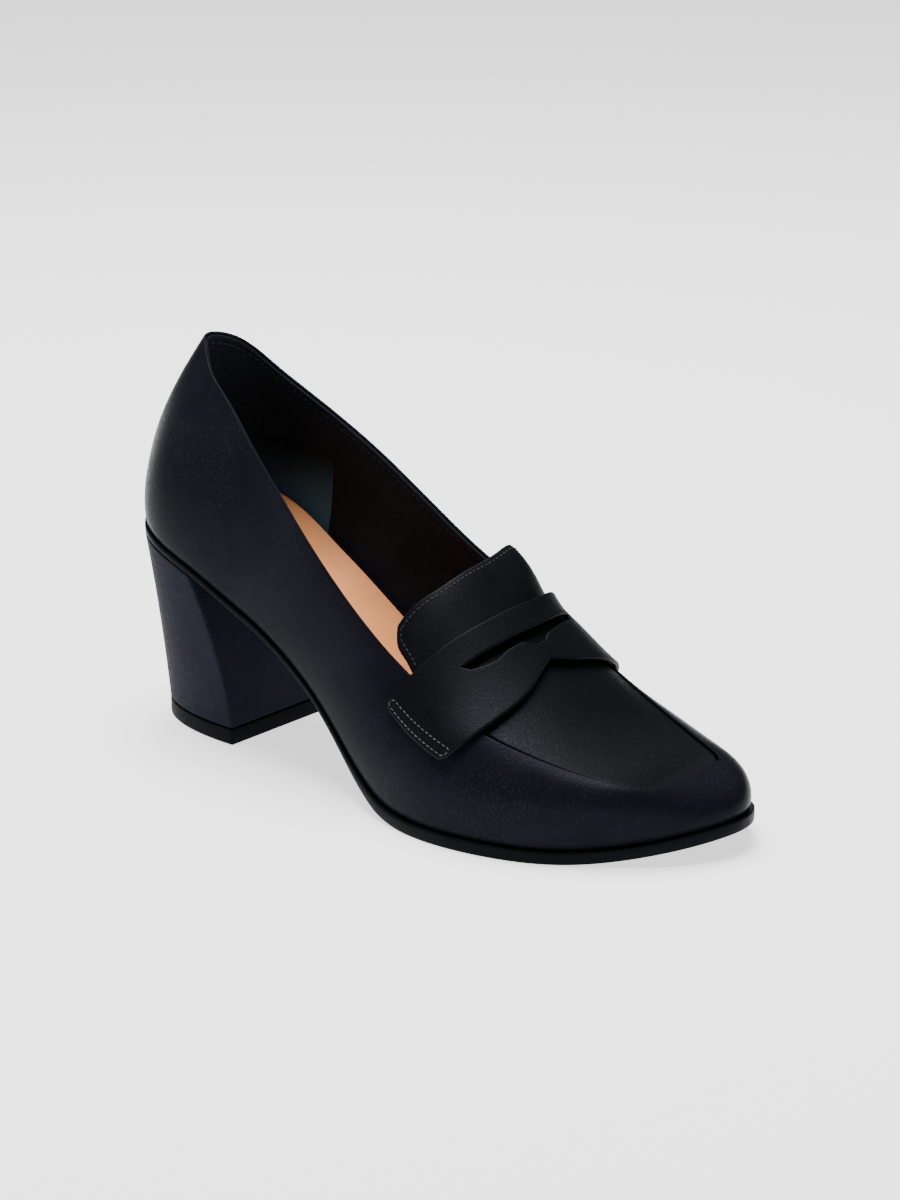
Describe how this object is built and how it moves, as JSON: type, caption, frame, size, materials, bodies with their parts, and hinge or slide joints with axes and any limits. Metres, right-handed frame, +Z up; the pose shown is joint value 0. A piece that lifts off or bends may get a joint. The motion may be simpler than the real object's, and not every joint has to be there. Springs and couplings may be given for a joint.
{
  "type": "loafer pump",
  "caption": "Right loafer pump with a block heel, an apron toe, a slotted saddle strap over a short tongue, and an open topline for the foot.",
  "frame": {"origin": "on the floor, under the middle of the shoe's box", "axes": "+X from heel to toe, +Y to the inner side of the foot, +Z up"},
  "size_m": [0.2277, 0.085, 0.1324],
  "materials": {
    "outsole": "black edge, low sheen",
    "heel": "smooth leather cover, blue black",
    "top_piece": "matt black",
    "insole": "tan lining leather, matt",
    "upper": "smooth, soft sheen, blue black",
    "apron_tongue": "smooth, soft sheen, black",
    "saddle_strap": "smooth, soft sheen, black"
  },
  "bodies": {
    "root": {"outsole": "outsole", "heel": "heel", "top_piece": "top_piece", "insole": "insole", "upper": "upper", "apron_tongue": "apron_tongue", "saddle_strap": "saddle_strap"}
  },
  "joints": []
}
